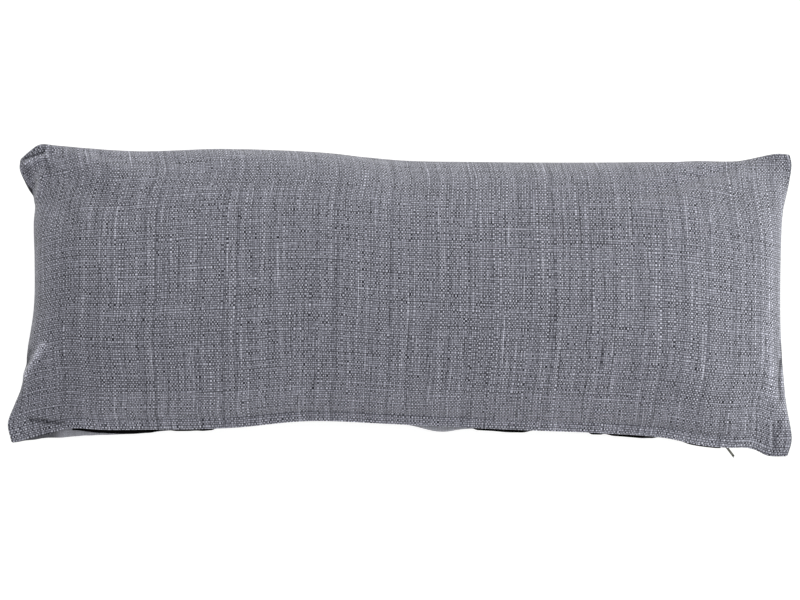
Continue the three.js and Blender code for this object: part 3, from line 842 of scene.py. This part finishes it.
def fine_material(name):
    """A hard or twisted surface: two close colours and two roughnesses that change with a fine noise."""
    dark, light, roughness, scale, metallic, bump = FINISHES[name]
    material, tree, shader = fresh_material(name)
    grain = wire(tree, "TexNoise", wire(tree, "TexCoord", out="Object"), None, scale, GRAIN_DETAIL)
    ramp = tree.nodes.new("ShaderNodeValToRGB")
    stops = ((GRAIN_LOW, dark), (GRAIN_HIGH, light))
    for element, (position, colour) in zip(ramp.color_ramp.elements, stops):
        element.position, element.color = position, (*colour, 1)
    tree.links.new(grain, ramp.inputs[0])
    tree.links.new(ramp.outputs[0], shader.inputs["Base Color"])
    rough = wire(tree, "MapRange", grain, GRAIN_LOW, GRAIN_HIGH, *roughness)
    tree.links.new(rough, shader.inputs["Roughness"])
    if bump:
        tree.links.new(wire(tree, "Bump", 1.0, bump, None, grain), shader.inputs["Normal"])
    shader.inputs["Metallic"].default_value = metallic
    return material


finishes = {name: fine_material(name) for name in FINISHES}
print("finishes:", list(finishes))

# %% The stitching of the hem, on the face and on the back
STITCH_PITCH, STITCH_LENGTH, STITCH_WIDTH, STITCH_HEIGHT = 4.2 * MM, 3.3 * MM, 0.75 * MM, 0.6 * MM
STITCH_SINK = 0.45 * MM  # where the stitching hardly draws the cloth in, its thread lies between the yarns

sewn_columns = [i for i in range(COLUMNS + 1) if ZIP_START < cut_across[i] < ZIP_STOP]
stitch_size = {"Spacing": STITCH_PITCH, "Length": STITCH_LENGTH, "Width": STITCH_WIDTH, "Height": STITCH_HEIGHT}
stitches = {}
for name, first in (("face_stitches", 0), ("back_stitches", face_count)):
    sewn_points = first + index[sewn_columns, LAP_ROWS]
    sink = STITCH_SINK * (1 - np.interp(hem_share[sewn_points], pulled, pull))
    sewn_line = folded[sewn_points] - facing[sewn_points] * sink[:, None]
    stitches[name] = bead_row(name, sewn_line, **stitch_size, Finish=finishes["thread kept dark as painted shade"])

# %% [markdown]
# ## The zip
#
# Under the hem lies a woven black tape with a row of nylon teeth, and at the right end a slider whose pull hangs out.
# The tape shows wherever the hem gapes, so its free edge follows the same table as the solid's. It is a strip with a
# section of its own, swept along the edge of the lap. A curve with a bevel would do for an even strip, but this one
# changes its width on the way.

# %% The tape and its teeth
TAPE_LOW, TAPE_HIGH, TAPE_ROOT = -1.1 * MM, -0.2 * MM, 7.6 * MM
TAPE_SELVEDGE = 0.25 * MM
COIL_INSET, COIL_WIDTH, COIL_TOP, COIL_PITCH = 4.6 * MM, 2.4 * MM, 0.7 * MM, 1.15 * MM
TOOTH_SHARE, TOOTH_LIFT = 0.8, 1 / 3  # of the pitch, and of the tooth's height
SLIDER_SHARE, SLIDER_GAP = 0.919, 0.4 * MM
SLIDER_LENGTH, SLIDER_DEPTH, SLIDER_HEIGHT, SLIDER_INSET = 10 * MM, 5 * MM, 2 * MM, 6 * MM
TAPE_STATIONS = 360


def lap_edge(across):
    """The edge of the lap, at the height of the slot's middle."""
    across = np.asarray(across, float)
    face, back = panel(across, 0 * across, 1), panel(across, 0 * across, -1)
    return np.stack([face[..., 0], face[..., 1], (face[..., 2] + back[..., 2]) / 2], axis=-1) + SHIFT


zip_end = SLIDER_SHARE - (SLIDER_LENGTH / 2 + SLIDER_GAP) / distances(seams["zipped"][1])[-1]
tape_share = np.linspace(ZIP_START + 2 * ZIP_RUNOUT, zip_end, TAPE_STATIONS)
edge = lap_edge(tape_share)
free = -stands_out(zip_edge_tape, tape_share)
middle = (TAPE_LOW + TAPE_HIGH) / 2
tape_section = [  # inset from the edge of the lap, height from the slot's middle
    (TAPE_ROOT, TAPE_LOW), (TAPE_ROOT, TAPE_HIGH), (COIL_INSET, TAPE_HIGH), (free + TAPE_SELVEDGE, TAPE_HIGH),
    (free, middle), (free + TAPE_SELVEDGE, TAPE_LOW), (COIL_INSET, TAPE_LOW),
]
sections = np.stack([edge + np.stack([0 * free, inset + 0 * free, height + 0 * free], axis=-1)
                     for inset, height in tape_section], axis=1)
tape_points = sections.reshape(-1, 3)
sides = len(tape_section)
tape_quads = [(s * sides + k, s * sides + (k + 1) % sides, (s + 1) * sides + (k + 1) % sides, (s + 1) * sides + k)
              for s in range(TAPE_STATIONS - 1) for k in range(sides)]
tape_ends = [tuple(range(sides))[::-1], tuple((TAPE_STATIONS - 1) * sides + k for k in range(sides))]
tape_mesh = bpy.data.meshes.new("zip_tape_woven")
tape_mesh.from_pydata(tape_points.tolist(), [], tape_quads + tape_ends)
tape_cut = tape_mesh.uv_layers.new(name="flat cut")
corner_of = [loop.vertex_index for loop in tape_mesh.loops]
tape_cut.data.foreach_set("uv", tape_points[corner_of, :2].astype(np.float32).ravel())
zip_tape = placed("zip_tape_woven", tape_mesh)
tape_mesh.materials.append(woven_material("black woven tape"))
with_normals = bmesh.new()
with_normals.from_mesh(tape_mesh)
bmesh.ops.recalc_face_normals(with_normals, faces=with_normals.faces)
with_normals.to_mesh(tape_mesh)
with_normals.free()

tooth_height = COIL_TOP - TAPE_HIGH
coil_line = edge + (0, COIL_INSET, TAPE_HIGH + TOOTH_LIFT * tooth_height)
zip_coil = bead_row("zip_coil", coil_line, Spacing=COIL_PITCH, Length=TOOTH_SHARE * COIL_PITCH, Width=COIL_WIDTH,
                    Height=tooth_height, Finish=finishes["black nylon"])
print("tape of", round(distances(edge)[-1] / MM), "mm")

# %% The pull: a narrow tab with a hole at its root
PULL_LENGTH, PULL_WIDTH, PULL_THICK, PULL_SOFTEN = 16 * MM, 2.6 * MM, 1.1 * MM, 0.22 * MM
PULL_INSET, PULL_LEAN, PULL_DROOP = 2.8 * MM, math.radians(40), math.radians(12)
PULL_HOLE = 0.62 * MM
OUTLINE_STEPS, SOFT_SEGMENTS = 64, 2


def tab_outline(steps):
    """Points round a tab with round ends, evenly spaced, its root at the origin and its length along -Y."""
    half = PULL_WIDTH / 2
    straight, turn = PULL_LENGTH - PULL_WIDTH, np.pi * half
    run = np.linspace(0, 2 * (straight + turn), steps, endpoint=False)
    outline = []
    for d in run:
        side, d = (1, d) if d < straight + turn else (-1, d - straight - turn)
        if d < straight:
            x, y = half, d - straight / 2
        else:
            angle = (d - straight) / half
            x, y = half * math.cos(angle), straight / 2 + half * math.sin(angle)
        outline.append((side * x, side * y - PULL_LENGTH / 2))
    return np.array(outline)


outer = tab_outline(OUTLINE_STEPS)
hole_middle = np.array([0, -PULL_WIDTH / 2])
ray = outer - hole_middle
inner = hole_middle + PULL_HOLE * ray / np.linalg.norm(ray, axis=1, keepdims=True)
pull_rings = [np.column_stack([ring, np.full(OUTLINE_STEPS, way * PULL_THICK / 2)])
              for ring, way in ((inner, 1), (outer, 1), (outer, -1), (inner, -1))]
pull_turn = np.array(Matrix.Rotation(PULL_LEAN, 3, "Z") @ Matrix.Rotation(PULL_DROOP, 3, "X"))
pull_root = lap_edge(SLIDER_SHARE) + (0, PULL_INSET, 0)
pull_points = np.vstack(pull_rings) @ pull_turn.T + pull_root
step = np.arange(OUTLINE_STEPS)
onward = (step + 1) % OUTLINE_STEPS
pull_faces = np.vstack([np.stack([a + step, b + step, b + onward, a + onward], axis=-1)
                        for a, b in OUTLINE_STEPS * np.array([(0, 1), (1, 2), (2, 3), (3, 0)])])
pull_mesh = bpy.data.meshes.new("pull_tab")
pull_mesh.from_pydata(pull_points.tolist(), [], pull_faces.tolist())
pull_tab = placed("pull_tab", pull_mesh)
pull_mesh.materials.append(finishes["dark lacquered metal"])
softened = pull_tab.modifiers.new("softened", "BEVEL")
softened.width = PULL_SOFTEN
softened.segments = SOFT_SEGMENTS
softened.limit_method = "ANGLE"
print("pull of", len(pull_faces), "faces hangs at", (pull_root / MM).round(1), "mm")

# %% The slider: two plates joined by a wedge, and the loop that holds the pull
PLATE_THICK, SLIDER_SOFTEN = 0.55 * MM, 0.2 * MM
PLATE_PINCH, WEDGE_PINCH = 0.25, 0.6
LOOP_WIRE, LOOP_RADIUS, LOOP_STEPS, WIRE_STEPS = 0.36 * MM, 1.1 * MM, 24, 8

slider_middle = Vector(lap_edge(SLIDER_SHARE) + (0, SLIDER_INSET, 0))
slider_body = bmesh.new()


def slider_block(size, place, pinch):
    """A block whose right end is pinched in, as a slider narrows toward the closed end of its zip."""
    made = bmesh.ops.create_cube(slider_body, size=1.0)["verts"]
    for corner in made:
        narrowed = 1 - pinch * (corner.co.x + 0.5)
        corner.co = place + corner.co * Vector((size[0], size[1] * narrowed, size[2]))


for way in (1, -1):
    lift = Vector((0, 0, way * (SLIDER_HEIGHT - PLATE_THICK) / 2))
    slider_block((SLIDER_LENGTH, SLIDER_DEPTH, PLATE_THICK), slider_middle + lift, PLATE_PINCH)
wedge_place = slider_middle - Vector((SLIDER_LENGTH / 4, 0, 0))
slider_block((SLIDER_LENGTH / 3, SLIDER_DEPTH / 3, SLIDER_HEIGHT - PLATE_THICK), wedge_place, WEDGE_PINCH)

loop_middle = slider_middle - Vector((0, SLIDER_DEPTH / 2 + LOOP_RADIUS - LOOP_WIRE, 0))
loop_rows = []
for k in range(LOOP_STEPS):
    spoke = Matrix.Rotation(2 * math.pi * k / LOOP_STEPS, 3, "X") @ Vector((0, 1, 0))
    turns = [2 * math.pi * m / WIRE_STEPS for m in range(WIRE_STEPS)]
    ring = [spoke * (LOOP_RADIUS + LOOP_WIRE * math.cos(turn)) + Vector((LOOP_WIRE * math.sin(turn), 0, 0))
            for turn in turns]
    loop_rows.append([slider_body.verts.new(loop_middle + point) for point in ring])
for row, after in zip(loop_rows, loop_rows[1:] + loop_rows[:1]):
    for m in range(WIRE_STEPS):
        slider_body.faces.new((row[m], row[m - 1], after[m - 1], after[m]))
bmesh.ops.recalc_face_normals(slider_body, faces=slider_body.faces)
slider_mesh = bpy.data.meshes.new("slider_body")
slider_body.to_mesh(slider_mesh)
slider_body.free()
slider_mesh.materials.append(finishes["dark lacquered metal"])
slider = placed("slider_body", slider_mesh)
eased_edges = slider.modifiers.new("eased edges", "BEVEL")
eased_edges.width = SLIDER_SOFTEN
eased_edges.segments = SOFT_SEGMENTS
print("slider at", [round(c / MM, 1) for c in slider_middle], "mm")

# %% [markdown]
# ## Dressing the part
#
# Last, each piece is hung on the body it rides on, and the solid that it stands for is hidden. Stitches and teeth
# stand for no solid of their own.

# %% Dress the pieces
for piece, slot, node in (
    (cover, "cover", "cushion"), (stitches["face_stitches"], "cover", None), (stitches["back_stitches"], "cover", None),
    (zip_tape, "zip_tape", "zip_tape"), (zip_coil, "zip_tape", None),
    (slider, "zip_metal", "zip_slider"), (pull_tab, "zip_metal", "zip_pull"),
):
    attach(piece, "root")
    if node:
        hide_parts(node)
